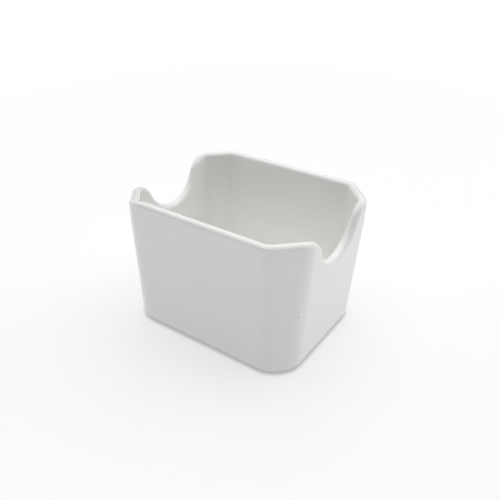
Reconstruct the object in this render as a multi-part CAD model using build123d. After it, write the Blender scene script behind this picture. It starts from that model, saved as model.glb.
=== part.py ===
from build123d import *
import math
import os

# Sugar packet holder: one cast porcelain tub, open at the top.
# X runs along its length, Y across its width, Z up, with the foot on z = 0.
# Lengths are in millimetres and angles in degrees.

# Overall size, across the rim before its edges are rounded
length = 96.3
width = 77.8
height = 65.0

# Walls and floor
wall = 4.4
wall_draft = 3.25
floor_thickness = 4.4
floor_round = 3.5          # edge between wall and floor inside

# Clipped corners
corner_cut = 12.6          # leg of the cut, measured at the rim
corner_draft = 2.3
outer_corner_round = 9.0   # upright edges outside
inner_corner_round = 5.0   # upright edges inside

# Finger scoops, one in each short end
scoop_radius = 17.0
scoop_depth = 18.5         # from the rim down to the lowest point
scoop_shoulder = 13.0      # radius that rolls each side of a scoop over to the rim

# Lip
lip_flat = 0.2             # narrow strip left along the crest of the lip
lip_radius = (wall - lip_flat) / 2

# Foot
base_round = 2.0           # outer edge of the base
foot_width = 4.0           # level ring that the tub stands on
foot_height = 1.2          # how far the underside lies above the table
foot_corner_round = 4.0    # upright edges of the hollow in the underside
foot_edge_round = 0.45     # inner edge of the ring

# The blanks rise past the rim, and the rim cutter takes the rest off again
blank_top = height + wall
cutter_top = blank_top + wall

# A fillet takes at most this share of the round or the wall that it runs into
fillet_share = 0.8

# The clipped corners face along these two lines
rising_diagonal = Axis((0, 0, 0), (1, 1, 0))
falling_diagonal = Axis((0, 0, 0), (1, -1, 0))

wall_slope = math.tan(math.radians(wall_draft))
corner_slope = math.tan(math.radians(corner_draft))


def half_sizes(level, inset):
    """Half length, half width and half diagonal of the tub at a level, so far inside its faces."""
    wall_step = (height - level) * wall_slope + inset * math.hypot(1, wall_slope)
    corner_step = (height - level) * corner_slope + inset * math.hypot(1, corner_slope)
    half_diagonal = (length / 2 + width / 2 - corner_cut) / math.sqrt(2)
    return length / 2 - wall_step, width / 2 - wall_step, half_diagonal - corner_step


def clipped_outline(sizes):
    """A rectangle with its four corners clipped."""
    half_length, half_width, half_diagonal = sizes
    leg = half_length + half_width - math.sqrt(2) * half_diagonal
    return chamfer(Rectangle(2 * half_length, 2 * half_width).vertices(), leg)


def clipped_block(sizes, bottom, top):
    """An upright eight-sided block that widens upwards, with the half sizes at its bottom.

    The outline is raised into a prism, and the draft then tilts the clipped faces and the walls.
    """
    base = Plane.XY.offset(bottom)
    block = extrude(base * clipped_outline(sizes), amount=top - bottom)
    clips = block.faces().filter_by(rising_diagonal) + block.faces().filter_by(falling_diagonal)
    block = draft(clips, base, -corner_draft)
    walls = block.faces().filter_by(Axis.X) + block.faces().filter_by(Axis.Y)
    return draft(walls, base, -wall_draft)


def round_uprights(block, radius):
    """Rounds the edges that climb from the bottom face to the top face."""
    uprights = block.edges().group_by(Axis.Z)[1]
    return fillet(uprights, radius)


def outer_block():
    """The tub as if solid: its outside faces, rounded uprights and rounded base."""
    block = clipped_block(half_sizes(0, 0), 0, blank_top)
    block = round_uprights(block, outer_corner_round)
    bottom_face = block.faces().sort_by(Axis.Z)[0]
    return fillet(bottom_face.edges(), min(base_round, fillet_share * outer_corner_round))


def cavity():
    """The space inside, one wall thickness in from the outer faces."""
    floor_level = foot_height + floor_thickness
    block = clipped_block(half_sizes(floor_level, wall), floor_level, cutter_top)
    block = round_uprights(block, inner_corner_round)
    bottom_face = block.faces().sort_by(Axis.Z)[0]
    return fillet(bottom_face.edges(), min(floor_round, fillet_share * inner_corner_round))


def scoop_arcs():
    """One scoop's outline in Y and Z: a round hollow and its two shoulders.

    Each shoulder is an arc that touches both the rim line and the hollow.
    """
    hollow_level = height - scoop_depth + scoop_radius
    shoulder_level = height - scoop_shoulder
    rise = hollow_level - shoulder_level
    reach = math.sqrt((scoop_radius + scoop_shoulder) ** 2 - rise**2)
    turn = math.degrees(math.atan2(reach, rise))
    up, down = 90, 270
    near = CenterArc((-reach, shoulder_level), scoop_shoulder, up, -turn)
    hollow = CenterArc((0, hollow_level), scoop_radius, down - turn, 2 * turn)
    far = CenterArc((reach, shoulder_level), scoop_shoulder, up + turn, -turn)
    return near, hollow, far


def rim_cutter():
    """All that lies above the rim: level along the sides, hollowed at both ends by the scoops."""
    near, hollow, far = scoop_arcs()
    around = Polyline(
        far @ 1,
        (width, height),
        (width, cutter_top),
        (-width, cutter_top),
        (-width, height),
        near @ 0,
    )
    outline = make_face([near, hollow, far, *around.edges()])
    return extrude(Plane.YZ * outline, amount=length, both=True)


def foot_hollow():
    """The shallow hollow in the underside, which leaves a ring to stand on."""
    outline = clipped_outline(half_sizes(0, base_round + foot_width))
    return extrude(fillet(outline.vertices(), foot_corner_round), amount=foot_height)


def lip_edges(body):
    """The two long edges of the rim, outside and inside, through both scoops."""
    lowest = height - scoop_depth - lip_flat
    rim_faces = body.faces().filter_by(lambda face: face.bounding_box().min.Z > lowest)
    edges = rim_faces.edges()
    return [edge for edge in edges if sum(edge.is_same(other) for other in edges) == 1]


def foot_inner_edges(body):
    """The inner edge of the ring that the tub stands on."""
    ring = body.faces().sort_by(Axis.Z)[0]
    return ring.inner_wires()[0].edges()


def porcelain_body():
    """The whole tub, with its lip rounded over and its underside hollowed."""
    body = outer_block() - cavity() - rim_cutter()
    body = fillet(lip_edges(body), lip_radius)
    body -= foot_hollow()
    return fillet(foot_inner_edges(body), min(foot_edge_round, fillet_share * foot_height))


os.makedirs("parts", exist_ok=True)
export_step(porcelain_body(), "parts/porcelain_body.step")
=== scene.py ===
import math
import bpy
import numpy as np
from mathutils import Matrix, Vector


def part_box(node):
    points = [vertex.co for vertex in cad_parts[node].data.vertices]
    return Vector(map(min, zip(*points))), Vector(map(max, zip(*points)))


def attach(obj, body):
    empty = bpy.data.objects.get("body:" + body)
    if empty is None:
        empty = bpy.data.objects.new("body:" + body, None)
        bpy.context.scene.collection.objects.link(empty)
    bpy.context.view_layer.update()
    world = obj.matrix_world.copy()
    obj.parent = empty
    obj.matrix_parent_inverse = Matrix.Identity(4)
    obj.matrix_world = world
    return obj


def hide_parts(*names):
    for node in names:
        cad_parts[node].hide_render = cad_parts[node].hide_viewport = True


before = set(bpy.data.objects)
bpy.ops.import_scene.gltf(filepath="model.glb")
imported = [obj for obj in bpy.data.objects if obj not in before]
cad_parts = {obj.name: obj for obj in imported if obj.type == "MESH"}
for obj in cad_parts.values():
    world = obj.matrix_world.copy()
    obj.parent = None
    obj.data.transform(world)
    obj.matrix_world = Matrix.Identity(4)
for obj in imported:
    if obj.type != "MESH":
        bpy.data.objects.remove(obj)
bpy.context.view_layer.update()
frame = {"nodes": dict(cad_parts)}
print("frame loaded:", ", ".join(frame["nodes"]))

mm = 0.001  # metres
upward = np.array([0.0, 0.0, 1.0])


def grey(level):
    return (level, level, level, 1)


def unit(vectors):
    return vectors / np.linalg.norm(vectors, axis=-1, keepdims=True)


def wayTo(turn, rise):
    # Unit vector that goes round from +X towards +Y by turn and up by rise, both in degrees
    around, above = math.radians(turn), math.radians(rise)
    level = math.cos(above)
    return Vector((math.cos(around) * level, math.sin(around) * level, math.sin(above)))


class Wire:
    # One socket of a shader; + - * / on it add Math nodes
    def __init__(self, shader, socket):
        self.shader = shader
        self.socket = socket

    def combine(self, operation, first, second):
        return self.shader.node("Math", dict(operation=operation), {0: first, 1: second})

    def __add__(self, other):
        return self.combine("ADD", self, other)

    def __sub__(self, other):
        return self.combine("SUBTRACT", self, other)

    def __rsub__(self, other):
        return self.combine("SUBTRACT", other, self)

    def __mul__(self, other):
        return self.combine("MULTIPLY", self, other)

    def __truediv__(self, other):
        return self.combine("DIVIDE", self, other)

    def __rtruediv__(self, other):
        return self.combine("DIVIDE", other, self)

    __radd__ = __add__
    __rmul__ = __mul__

    def beside(self, name):
        # another output of the same node
        return Wire(self.shader, self.socket.node.outputs[name])


class Shader:
    # A material's node tree
    noiseMiddle = 0.5  # cloudy noise varies about this value

    def __init__(self, name):
        self.material = bpy.data.materials.new(name)
        self.material.use_nodes = True
        self.tree = self.material.node_tree
        self.surface = self.tree.nodes["Principled BSDF"]

    def node(self, kind, settings, sockets, out=0):
        # kind is the type's name after ShaderNode; settings come first, then socket values or links
        made = self.tree.nodes.new("ShaderNode" + kind)
        for name, value in settings.items():
            setattr(made, name, value)
        for key, value in sockets.items():
            self.feed(made.inputs[key], value)
        return Wire(self, made.outputs[out])

    def feed(self, socket, value):
        if isinstance(value, Wire):
            self.tree.links.new(value.socket, socket)
        else:
            socket.default_value = value

    def ramp(self, value, low, high):
        # 0 below low, 1 above high, smooth between
        sockets = {"Value": value, "From Min": low, "From Max": high}
        return self.node("MapRange", dict(interpolation_type="SMOOTHSTEP"), sockets)

    def mix(self, share, first, second):
        # first colour at share 0, second at share 1; 6, 7 and 2 are the node's colour sockets
        return self.node("Mix", dict(data_type="RGBA"), {0: share, 6: first, 7: second}, out=2)

    def noise(self, place, size, detail):
        # cloudy noise from 0 to 1, with lumps of about this size
        sockets = {"Vector": place, "Scale": 1 / size, "Detail": detail}
        return self.node("TexNoise", {}, sockets)

    def distance(self, place, point):
        sockets = {0: place, 1: point}
        return self.node("VectorMath", dict(operation="DISTANCE"), sockets, out="Value")

    def finish(self, sockets):
        for name, value in sockets.items():
            self.feed(self.surface.inputs[name], value)
        return self.material

    def openBehind(self):
        # makes the back of the faces see-through
        behind = self.node("NewGeometry", {}, {}, out="Backfacing")
        clear = self.node("BsdfTransparent", {}, {})
        solid = Wire(self, self.surface.outputs["BSDF"])
        shown = self.node("MixShader", {}, {0: behind, 1: solid, 2: clear})
        self.feed(self.tree.nodes["Material Output"].inputs["Surface"], shown)


# The tub. Its main sizes are those of the CAD solid, but its corners and its base are rounded more
# softly, which leaves a narrower ring to stand on
tub = dict(
    height=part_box("porcelain_body")[1][2],
    length=96.3 * mm,            # across the rim, before the lip is rounded
    width=77.8 * mm,
    wall=4.4 * mm,
    wallDraft=3.25,              # degrees
    clipDraft=2.3,
    clipLeg=12.6 * mm,           # of the clipped corners, at the rim
    rimCornerRound=8.0 * mm,     # upright edges, outside, up at the rim
    baseCornerRound=13.0 * mm,   # and down at the base
    floorCornerRound=9.0 * mm,   # upright edges, inside, down at the floor
    scoopRadius=17.0 * mm,
    scoopDepth=18.5 * mm,
    scoopShoulder=13.0 * mm,     # radius that rolls each side of a scoop over to the rim
    floorThickness=4.4 * mm,
    floorRound=3.5 * mm,         # where the wall meets the floor inside
    baseRound=3.5 * mm,          # where the wall turns under
    footWidth=2.5 * mm,          # of the level ring that the tub stands on
    footHeight=1.2 * mm,         # of the hollow inside that ring
    footEdge=0.45 * mm,          # rounding of the ring's inner edge
    hollowRound=0.6 * mm,        # where the hollow's low wall meets the underside
    arcColumns=14,               # of the mesh, in one upright rounding
    clipColumns=12,
    longColumns=36,
    scoopColumns=96,
    wallRows=30,
    lipRows=26,
    roundRows=10,
    flatRows=9,
)

faceCount = 8                        # end, clip, side, clip, and the same again
faceTurn = 2 * math.pi / faceCount   # between two neighbours


def everyFace(end, clip, side):
    # One value for each face, anticlockwise from the +X end
    return np.array([end, clip, side, clip] * 2)


def faceDistances(level):
    # How far the faces stand from the axis at a level
    drop = tub["height"] - level
    wallStep = drop * math.tan(math.radians(tub["wallDraft"]))
    clipStep = drop * math.tan(math.radians(tub["clipDraft"]))
    halfLength, halfWidth = tub["length"] / 2, tub["width"] / 2
    rimClip = (halfLength + halfWidth - tub["clipLeg"]) / math.sqrt(2)
    return everyFace(halfLength - wallStep, rimClip - clipStep, halfWidth - wallStep)


def cornerCentres(level, inset, rounding):
    # Centres of the upright roundings of an outline that lies so far inside the outer faces:
    # each is one radius inside two neighbouring faces
    wallStretch = 1 / math.cos(math.radians(tub["wallDraft"]))
    clipStretch = 1 / math.cos(math.radians(tub["clipDraft"]))
    stretch = everyFace(wallStretch, clipStretch, wallStretch)
    reach = faceDistances(level) - inset * stretch - rounding
    angles = np.arange(faceCount) * faceTurn
    along = (np.roll(reach, -1) - reach * math.cos(faceTurn)) / math.sin(faceTurn)
    outward = np.stack([np.cos(angles), np.sin(angles), 0 * angles], 1)
    sideways = np.stack([-np.sin(angles), np.cos(angles), 0 * angles], 1)
    return reach[:, None] * outward + along[:, None] * sideways + level * upward


def columnLayout():
    # Columns round the tub, on a flat, a rounding, a flat, a rounding ...: for each one the two
    # corner centres that it lies between, the share of the way from one to the other, the angle
    # that it faces and whether it is on the flat of an end
    flats = everyFace(tub["scoopColumns"], tub["clipColumns"], tub["longColumns"])
    arcs = np.full(faceCount, tub["arcColumns"])
    counts = np.stack([flats, arcs], 1).ravel()
    face = np.repeat(np.repeat(np.arange(faceCount), 2), counts)
    flat = np.repeat(np.tile([True, False], faceCount), counts)
    before = np.repeat(np.cumsum(counts) - counts, counts)
    share = (np.arange(len(face)) - before) / np.repeat(counts, counts)
    start = np.where(flat, face - 1, face) % faceCount
    angle = (face + np.where(flat, 0, share)) * faceTurn
    inEnd = flat & everyFace(True, False, False)[face]
    return start, face, share, angle, inEnd


class Columns:
    # Straight lines up one surface of the tub, so far inside its outer faces. Each runs from the
    # base's outline to the rim's, whose corners have their own roundings:
    # ring(level) = corner centre + rounding * outward
    def __init__(self, inset, baseCorner, rimCorner):
        self.start, self.end, self.share, angle, self.inEnd = columnLayout()
        self.inset = inset
        self.baseCorner = baseCorner
        self.rimCorner = rimCorner
        self.outward = np.stack([np.cos(angle), np.sin(angle), 0 * angle], 1)
        climb = self.point(tub["height"]) - self.point(0)
        self.lean = np.einsum("ij,ij->i", climb, self.outward) / tub["height"]
        self.normal = unit(self.outward - self.lean[:, None] * upward)

    def ring(self, level, rounding, share):
        centres = cornerCentres(level, self.inset, rounding)
        first, last = centres[self.start], centres[self.end]
        return first + (last - first) * share[:, None] + rounding * self.outward

    def point(self, level, share=None):
        share = self.share if share is None else share
        low = self.ring(0, self.baseCorner, share)
        high = self.ring(tub["height"], self.rimCorner, share)
        tall = np.broadcast_to(level / tub["height"], share.shape)[:, None]
        return low + (high - low) * tall


def scoopArcs():
    # A scoop's outline is a hollow arc with a shoulder arc on each side that touches it and the
    # rim. Gives the levels of their centres, how far the shoulders' centres lie to the side, and
    # the angle that each arc turns through on one side
    hollowLevel = tub["height"] - tub["scoopDepth"] + tub["scoopRadius"]
    shoulderLevel = tub["height"] - tub["scoopShoulder"]
    rise = hollowLevel - shoulderLevel
    reach = math.sqrt((tub["scoopRadius"] + tub["scoopShoulder"]) ** 2 - rise**2)
    return hollowLevel, shoulderLevel, reach, math.atan2(reach, rise)


def lipCentre(columns):
    # The line that the round lip turns about, one lip radius under the crest. Across an end wall
    # it follows the scoop's arcs, evenly divided by length; elsewhere its level follows the
    # shoulder arc out to where that touches the rim
    hollowLevel, shoulderLevel, reach, turn = scoopArcs()
    hollowRadius = tub["scoopRadius"] + tub["wall"] / 2
    shoulderRadius = tub["scoopShoulder"] - tub["wall"] / 2

    halfEnd = cornerCentres(tub["height"], columns.inset, columns.rimCorner)[0][1]
    lastTurn = math.asin((reach - halfEnd) / shoulderRadius)  # where the flat of the end stops
    hollowLength = hollowRadius * turn
    halfLength = hollowLength + shoulderRadius * (turn - lastTurn)
    along = (2 * columns.share - 1) * halfLength
    past = np.abs(along) - hollowLength
    inHollow = past < 0
    hollowTurn = np.abs(along) / hollowRadius
    shoulderTurn = turn - past / shoulderRadius
    hollowAside = hollowRadius * np.sin(hollowTurn)
    shoulderAside = reach - shoulderRadius * np.sin(shoulderTurn)
    across = np.where(inHollow, hollowAside, shoulderAside)
    endShare = (1 + np.sign(along) * across / halfEnd) / 2
    hollowArc = hollowLevel - hollowRadius * np.cos(hollowTurn)
    shoulderArc = shoulderLevel + shoulderRadius * np.cos(shoulderTurn)

    aside = np.abs(columns.point(tub["height"])[:, 1])
    rimTurn = np.arcsin(np.clip((reach - aside) / shoulderRadius, 0, 1))
    rimArc = shoulderLevel + shoulderRadius * np.cos(rimTurn)
    share = np.where(columns.inEnd, endShare, columns.share)
    level = np.where(columns.inEnd, np.where(inHollow, hollowArc, shoulderArc), rimArc)
    return columns.point(level, share)


def closedTangent(line):
    # Unit tangents of a closed line of points with unequal steps
    pad = 3  # points repeated past both ends, so that the line closes
    wide = np.concatenate([line[-pad:], line, line[:pad]])
    steps = np.linalg.norm(np.diff(wide, axis=0), axis=1)
    along = np.concatenate([[0], np.cumsum(steps)])
    return unit(np.gradient(wide, along, axis=0)[pad:-pad])


def eased(count):
    # 0 to 1 with rows closer at both ends: (1 - cos(angle)) / 2
    return (1 - np.cos(np.linspace(0, math.pi, count))) / 2


def between(first, last, steps):
    # Straight rows from one ring of points to another
    return first + (last - first) * steps[:, None, None]


def rounded(centre, radius, first, second, angles):
    # Rows of a round edge: centre + radius * (cos(angle) * first + sin(angle) * second),
    # with one angle for each row, or one for each row and column
    turned = angles.reshape(len(angles), -1, 1)
    return centre + radius * (np.cos(turned) * first + np.sin(turned) * second)


def turnUnder(columns):
    # Angles of a rounding at the foot of a wall, for each row and column: from square to the
    # leaning wall to straight down
    tilt = np.arctan(columns.lean)
    steps = np.linspace(0, 1, tub["roundRows"])[:, None]
    return tilt + (math.pi / 2 - tilt) * steps


def footRows(baseBall, out):
    # The inner edge of the ring that the tub stands on, and the edge of the hollow inside it,
    # each a quarter of a round
    innerFoot = baseBall - tub["footWidth"] * out
    innerFoot[:, 2] = 0
    edgeBall = innerFoot + tub["footEdge"] * (out + upward)
    hollowRise = (tub["footHeight"] - tub["hollowRound"]) * upward
    hollowBall = innerFoot - tub["hollowRound"] * out + hollowRise
    quarter = np.linspace(0, math.pi / 2, tub["roundRows"])
    footEdge = rounded(edgeBall, tub["footEdge"], -upward, -out, quarter)
    hollowEdge = rounded(hollowBall, tub["hollowRound"], out, upward, quarter)
    return footEdge, hollowEdge


def tubRows():
    # The profile carried round the tub, from the middle of the floor up the inside, over the lip,
    # down the outside, under the foot and in to the middle of the underside
    wall, lipRadius = tub["wall"], tub["wall"] / 2
    baseRound, floorRound = tub["baseRound"], tub["floorRound"]
    rimCorner, baseCorner = tub["rimCornerRound"], tub["baseCornerRound"]
    floorCorner = tub["floorCornerRound"]
    middle = Columns(lipRadius, baseCorner - lipRadius, rimCorner - lipRadius)
    outside = Columns(baseRound, baseCorner - baseRound, rimCorner - baseRound)
    inside = Columns(wall + floorRound, floorCorner - floorRound, rimCorner - wall)
    out, normal = middle.outward, middle.normal

    lip = lipCentre(middle)
    raised = np.cross(normal, closedTangent(lip))
    lipCurve = rounded(lip, lipRadius, normal, raised, np.linspace(math.pi, 0, tub["lipRows"]))
    floorLevel = tub["footHeight"] + tub["floorThickness"]
    floorBall = inside.point(floorLevel + floorRound)
    floorCurve = rounded(floorBall, floorRound, out, -upward, turnUnder(inside))[::-1]
    baseBall = outside.point(baseRound)
    baseCurve = rounded(baseBall, baseRound, out, -upward, turnUnder(outside))
    footEdge, hollowEdge = footRows(baseBall, out)

    floorMiddle = floorLevel * upward
    underMiddle = tub["footHeight"] * upward
    wallSteps = eased(tub["wallRows"])[1:-1]
    flatSteps = np.linspace(0, 1, tub["flatRows"])[1:-1]
    rows = np.concatenate([
        between(floorMiddle, floorCurve[0], flatSteps),
        floorCurve,
        between(floorCurve[-1], lipCurve[0], wallSteps),
        lipCurve,
        between(lipCurve[-1], baseCurve[0], wallSteps),
        baseCurve,
        between(baseCurve[-1], footEdge[0], flatSteps),
        footEdge,
        hollowEdge,
        between(hollowEdge[-1], underMiddle, flatSteps),
    ])
    return rows, floorMiddle, underMiddle


# The four horns beside the scoops, which settle unevenly as the tub is fired
horns = dict(
    tipX=46.0 * mm,
    tipY=27.0 * mm,
    spread=13.0 * mm,            # how far from a tip the bend has faded
    bendHeight=18.0 * mm,        # how far below the rim it starts
    corners={                    # side in X and in Y, then how far the tip leans in and sags
        (-1, -1): (1.7 * mm, 1.9 * mm),
        (1, -1): (0.6 * mm, 0.1 * mm),
        (1, 1): (0.8 * mm, 0.3 * mm),
        (-1, 1): (0.4 * mm, 0.2 * mm),
    },
)


def settleHorns(points):
    # Each point moves by high**2 * near * (lean towards the axis, sag down), where high runs from
    # 0 at the bend to 1 at the rim, and near = exp(-(distance from the tip in plan / spread)**2)
    high = np.clip(1 - (tub["height"] - points[..., 2]) / horns["bendHeight"], 0, 1)
    moved = points.copy()
    for (sideX, sideY), (lean, sag) in horns["corners"].items():
        tip = np.array([sideX * horns["tipX"], sideY * horns["tipY"]])
        gap = np.linalg.norm(points[..., :2] - tip, axis=-1)
        near = np.exp(-((gap / horns["spread"]) ** 2))
        share = high**2 * near
        moved += share[..., None] * np.array([*(-lean * unit(tip)), -sag])
    return moved


def closedGrid(rows, firstPole, lastPole):
    # Vertices, quads and pole triangles of rows of points that close round the columns
    rowCount, columnCount = rows.shape[:2]
    index = np.arange(rowCount * columnCount).reshape(rowCount, columnCount)
    after = np.roll(index, -1, axis=1)
    quads = np.stack([index[:-1], index[1:], after[1:], after[:-1]], -1).reshape(-1, 4)
    first, last = index.size, index.size + 1
    firstFan = np.stack([np.full(columnCount, first), index[0], after[0]], 1)
    lastFan = np.stack([index[-1], np.full(columnCount, last), after[-1]], 1)
    points = np.concatenate([rows.reshape(-1, 3), [firstPole, lastPole]])
    return points, quads.tolist() + firstFan.tolist() + lastFan.tolist()


def meshValues(items, name, width, kind=float):
    # One attribute of a mesh's vertices or edges, with so many values in a row
    values = np.empty(width * len(items), dtype=kind)
    items.foreach_get(name, values)
    return values.reshape(-1, width)


def hollowness(mesh):
    # How hollow the surface is at each vertex, per metre: the mean over its edges of
    # 2 * normal . edge / length**2, above 0 in a hollow and below 0 on a crest
    points = meshValues(mesh.vertices, "co", 3)
    normals = meshValues(mesh.vertex_normals, "vector", 3)
    ends = meshValues(mesh.edges, "vertices", 2, int)
    starts, stops = np.concatenate([ends, ends[:, ::-1]]).T
    edge = points[stops] - points[starts]
    rise = np.einsum("ij,ij->i", normals[starts], edge)
    bend = 2 * rise / np.einsum("ij,ij->i", edge, edge)
    count = np.bincount(starts, minlength=len(points))
    return np.bincount(starts, weights=bend, minlength=len(points)) / count


def makePiece(name, points, faces, material):
    mesh = bpy.data.meshes.new(name)
    mesh.from_pydata(points.tolist(), [], faces)
    mesh.polygons.foreach_set("use_smooth", np.ones(len(mesh.polygons), dtype=bool))
    mesh.materials.append(material)
    mesh.update()
    piece = bpy.data.objects.new(name, mesh)
    bpy.context.collection.objects.link(piece)
    return piece


# The finish: white porcelain under a clear gloss glaze, wiped off the ring that it was fired on
glaze = dict(
    white=(0.935, 0.935, 0.921, 1),
    shade=(0.919, 0.920, 0.905, 1),      # cloudy variation of the white
    pooled=(0.905, 0.917, 0.896, 1),     # where the glaze ran thick
    thin=(0.942, 0.939, 0.922, 1),       # where it drew back over an edge
    bare=(0.70, 0.665, 0.60, 1),
    speck=(0.20, 0.165, 0.13, 1),
    gloss=0.09,                          # roughness
    glossSpread=0.03,
    bareRoughness=0.75,
    index=1.5,                           # of refraction
    cloudSize=38 * mm,
    cloudDetail=2.0,
    cloudFrom=0.3,                       # noise values between which white turns to shade
    cloudTo=0.7,
    poolBend=300.0,                      # hollowness that counts as full, per metre
    thinBend=500.0,
    peelSize=3.0 * mm,                   # soft waves left by the glaze as it ran
    peelDetail=1.0,
    grainSize=0.3 * mm,                  # of the bare clay
    grainDetail=4.0,
    waveDepth=0.012 * mm,
    bareFrom=0.15 * mm,                  # the glaze sets in between these heights
    bareTo=0.3 * mm,
    bareWander=0.3 * mm,
    speckPlace=(44.7 * mm, -27.35 * mm, 30.85 * mm),
    speckRadius=0.5 * mm,
    strayCell=4.0 * mm,                  # one possible stray speck in each cell of this size
    strayRadius=0.26 * mm,
    strayShare=0.02,
)


def glazeSpecks(shader, place):
    # 1 on the one large speck and on a few stray ones that the surface happens to pass through
    large = 1 - shader.ramp(shader.distance(place, glaze["speckPlace"]), 0, glaze["speckRadius"])
    cells = {"Vector": place, "Scale": 1 / glaze["strayCell"]}
    near = shader.node("TexVoronoi", {}, cells, out="Distance")
    draw = shader.node("SeparateColor", {}, {"Color": near.beside("Color")}, out="Red")
    chosen = draw.combine("LESS_THAN", draw, glaze["strayShare"])
    strayReach = glaze["strayRadius"] / glaze["strayCell"]
    stray = chosen * (1 - shader.ramp(near, 0, strayReach))
    return large.combine("MAXIMUM", large, stray)


def glazedPorcelain():
    shader = Shader("glazedPorcelain")
    place = shader.node("TexCoord", {}, {}, out="Object")
    height = shader.node("SeparateXYZ", {}, {"Vector": place}, out="Z")
    hollow = shader.node("Attribute", dict(attribute_name="hollow"), {}, out="Fac")
    cloud = shader.noise(place, glaze["cloudSize"], glaze["cloudDetail"])
    peel = shader.noise(place, glaze["peelSize"], glaze["peelDetail"])
    grain = shader.noise(place, glaze["grainSize"], glaze["grainDetail"])
    wiped = height + (peel - shader.noiseMiddle) * glaze["bareWander"]
    bare = 1 - shader.ramp(wiped, glaze["bareFrom"], glaze["bareTo"])

    shaded = shader.ramp(cloud, glaze["cloudFrom"], glaze["cloudTo"])
    colour = shader.mix(shaded, glaze["white"], glaze["shade"])
    colour = shader.mix(shader.ramp(hollow, 0, glaze["poolBend"]), colour, glaze["pooled"])
    colour = shader.mix(shader.ramp(0 - hollow, 0, glaze["thinBend"]), colour, glaze["thin"])
    colour = shader.mix(glazeSpecks(shader, place), colour, glaze["speck"])
    colour = shader.mix(bare, colour, glaze["bare"])

    gloss = glaze["gloss"] + (cloud - shader.noiseMiddle) * glaze["glossSpread"]
    roughness = gloss + bare * (glaze["bareRoughness"] - gloss)
    waves = peel * (1 - bare) + grain * bare
    normal = shader.node("Bump", {}, {"Distance": glaze["waveDepth"], "Height": waves})
    return shader.finish({
        "Base Color": colour,
        "Roughness": roughness,
        "Normal": normal,
        "IOR": glaze["index"],
    })


def buildTub():
    rows, floorMiddle, underMiddle = tubRows()
    points, faces = closedGrid(settleHorns(rows), floorMiddle, underMiddle)
    piece = makePiece("glazedTub", points, faces, glazedPorcelain())
    hollow = piece.data.attributes.new("hollow", "FLOAT", "POINT")
    hollow.data.foreach_set("value", hollowness(piece.data))
    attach(piece, "root")
    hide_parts("porcelain_body")
    print("tub:", rows.shape[0], "rows,", rows.shape[1], "columns,", len(faces), "faces")


# The camera: where it stands as seen from its target, and how far it is rolled, in degrees
view = dict(
    turn=-56.367,
    rise=30.417,
    roll=1.242,
    distance=260.968 * mm,
    target=(1.119 * mm, 1.776 * mm, 33.463 * mm),
    focal=545.5,                 # pixels
    pictureWidth=500,            # pixels
    sensor=36.0,                 # millimetres
    clipStart=10 * mm,
)


def placeCamera():
    back = wayTo(view["turn"], view["rise"])
    level = wayTo(view["turn"] + 90, 0)  # a quarter turn on, to the right in the picture
    rising = back.cross(level)
    roll = math.radians(view["roll"])
    right = level * math.cos(roll) + rising * math.sin(roll)
    top = rising * math.cos(roll) - level * math.sin(roll)
    lens = bpy.data.cameras.new("camera")
    lens.sensor_width = view["sensor"]
    lens.lens = view["sensor"] * view["focal"] / view["pictureWidth"]
    lens.clip_start = view["clipStart"]
    camera = bpy.data.objects.new("camera", lens)
    placed = Matrix((right, top, back)).transposed().to_4x4()
    placed.translation = Vector(view["target"]) + back * view["distance"]
    camera.matrix_world = placed
    bpy.context.collection.objects.link(camera)
    bpy.context.scene.camera = camera
    print("camera placed")


# The studio: a pale floor that glows a little, with a painted contact shadow round the tub's base,
# and five softboxes aimed at the tub. turn and rise, in degrees, say where a box hangs as seen from
# its aim; lengths are in metres
studio = dict(
    floorSize=12.0,
    floorDrop=0.05 * mm,         # keeps the floor clear of the foot
    floorGrey=0.5,
    floorRoughness=0.8,
    # painted contact shadow: under and just around the tub's base the floor is darker in colour and
    # glows less
    paintedShadowGrey=0.03,            # floor colour in the painted contact shadow
    paintedShadowGlow=0.40,
    paintedShadowFrom=-1.8 * mm,       # the painted contact shadow fades out between these distances from the base's outline
    paintedShadowTo=1.6 * mm,
    contactRound=6.0 * mm,       # softens the corners of that outline
    nearGlow=0.489,
    farGlow=1.0,                 # where the softboxes no longer reach
    farFrom=0.35,
    farTo=1.5,
    backdrop=1.0,                # grey of the world behind the floor
    aim=(0, 0, 30 * mm),
    boxes=dict(
        top=dict(turn=90, rise=80, away=0.95, wide=1.8, tall=1.8, brightness=1.34),
        topBack=dict(turn=90, rise=60, away=1.0, wide=1.4, tall=0.8, brightness=0.366),
        rightBack=dict(turn=45, rise=22, away=1.0, wide=1.0, tall=0.7, brightness=0.798),
        left=dict(turn=185, rise=25, away=1.0, wide=1.0, tall=0.7, brightness=0.996),
        front=dict(turn=268, rise=65, away=1.0, wide=0.8, tall=0.6, brightness=0.57),
    ),
)


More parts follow.
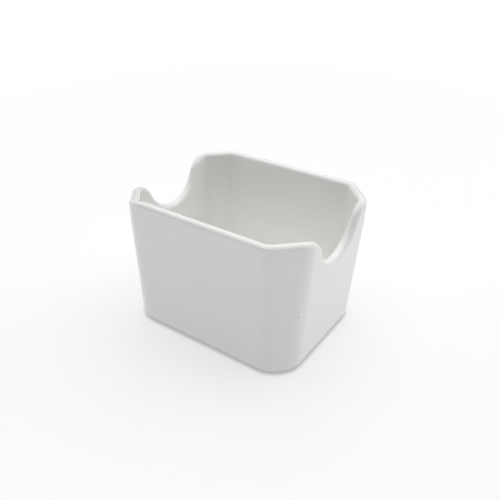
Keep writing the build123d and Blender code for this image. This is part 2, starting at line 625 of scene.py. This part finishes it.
def baseGap(shader, place):
    # How far a point on the floor lies outside the tub's base: the larger of |x| - end and
    # |y| - side, blended at the corners with (|x| + |y|) / sqrt(2) - clip where that is larger
    end, clip, side = faceDistances(0)[:3]
    mirrored = shader.node("VectorMath", dict(operation="ABSOLUTE"), {0: place})
    x = shader.node("SeparateXYZ", {}, {"Vector": mirrored}, out="X")
    y = x.beside("Y")
    straight = x.combine("MAXIMUM", x - end, y - side)
    slanted = (x + y) / math.sqrt(2) - clip
    sockets = {0: straight, 1: slanted, 2: studio["contactRound"]}
    return shader.node("Math", dict(operation="SMOOTH_MAX"), sockets)


def paleFloor():
    shader = Shader("paleFloor")
    place = shader.node("TexCoord", {}, {}, out="Object")
    # Painted contact shadow: clear is 0 under and just around the tub's base and 1 beyond it; where
    # it is 0 the floor takes a dark colour and a weaker glow
    clear = shader.ramp(baseGap(shader, place), studio["paintedShadowFrom"], studio["paintedShadowTo"])
    far = shader.ramp(shader.distance(place, (0, 0, 0)), studio["farFrom"], studio["farTo"])
    glow = shader.mix(clear, grey(studio["paintedShadowGlow"]), grey(studio["nearGlow"]))
    shader.openBehind()
    return shader.finish({
        "Base Color": shader.mix(clear, grey(studio["paintedShadowGrey"]), grey(studio["floorGrey"])),
        "Roughness": studio["floorRoughness"],
        "Emission Color": shader.mix(far, glow, grey(studio["farGlow"])),
        "Emission Strength": 1.0,
    })


def hangSoftbox(name, turn, rise, away, wide, tall, brightness):
    # An area light whose sheet is this bright, where 1 is a white surface in the picture
    lamp = bpy.data.lights.new(name, "AREA")
    lamp.shape = "RECTANGLE"
    lamp.size, lamp.size_y = wide, tall
    lamp.energy = brightness * math.pi * wide * tall
    way = wayTo(turn, rise)
    box = bpy.data.objects.new(name, lamp)
    box.location = Vector(studio["aim"]) + away * way
    box.rotation_euler = way.to_track_quat("Z", "Y").to_euler()
    box.visible_camera = False
    bpy.context.collection.objects.link(box)


def buildStudio():
    square = np.array([[-1, -1, 0], [1, -1, 0], [1, 1, 0], [-1, 1, 0]])
    corners = square * studio["floorSize"] / 2 - studio["floorDrop"] * upward
    makePiece("floor", corners, [[0, 1, 2, 3]], paleFloor())
    for name, box in studio["boxes"].items():
        hangSoftbox(name, **box)
    world = bpy.data.worlds.new("studio")
    bpy.context.scene.world = world
    world.use_nodes = True
    world.node_tree.nodes["Background"].inputs["Color"].default_value = grey(studio["backdrop"])
    world.cycles_visibility.diffuse = False  # white behind the floor, but not a light
    world.cycles_visibility.glossy = False
    bpy.context.scene.view_settings.view_transform = "Standard"
    print("studio:", len(studio["boxes"]), "softboxes")


buildTub()
placeCamera()
buildStudio()
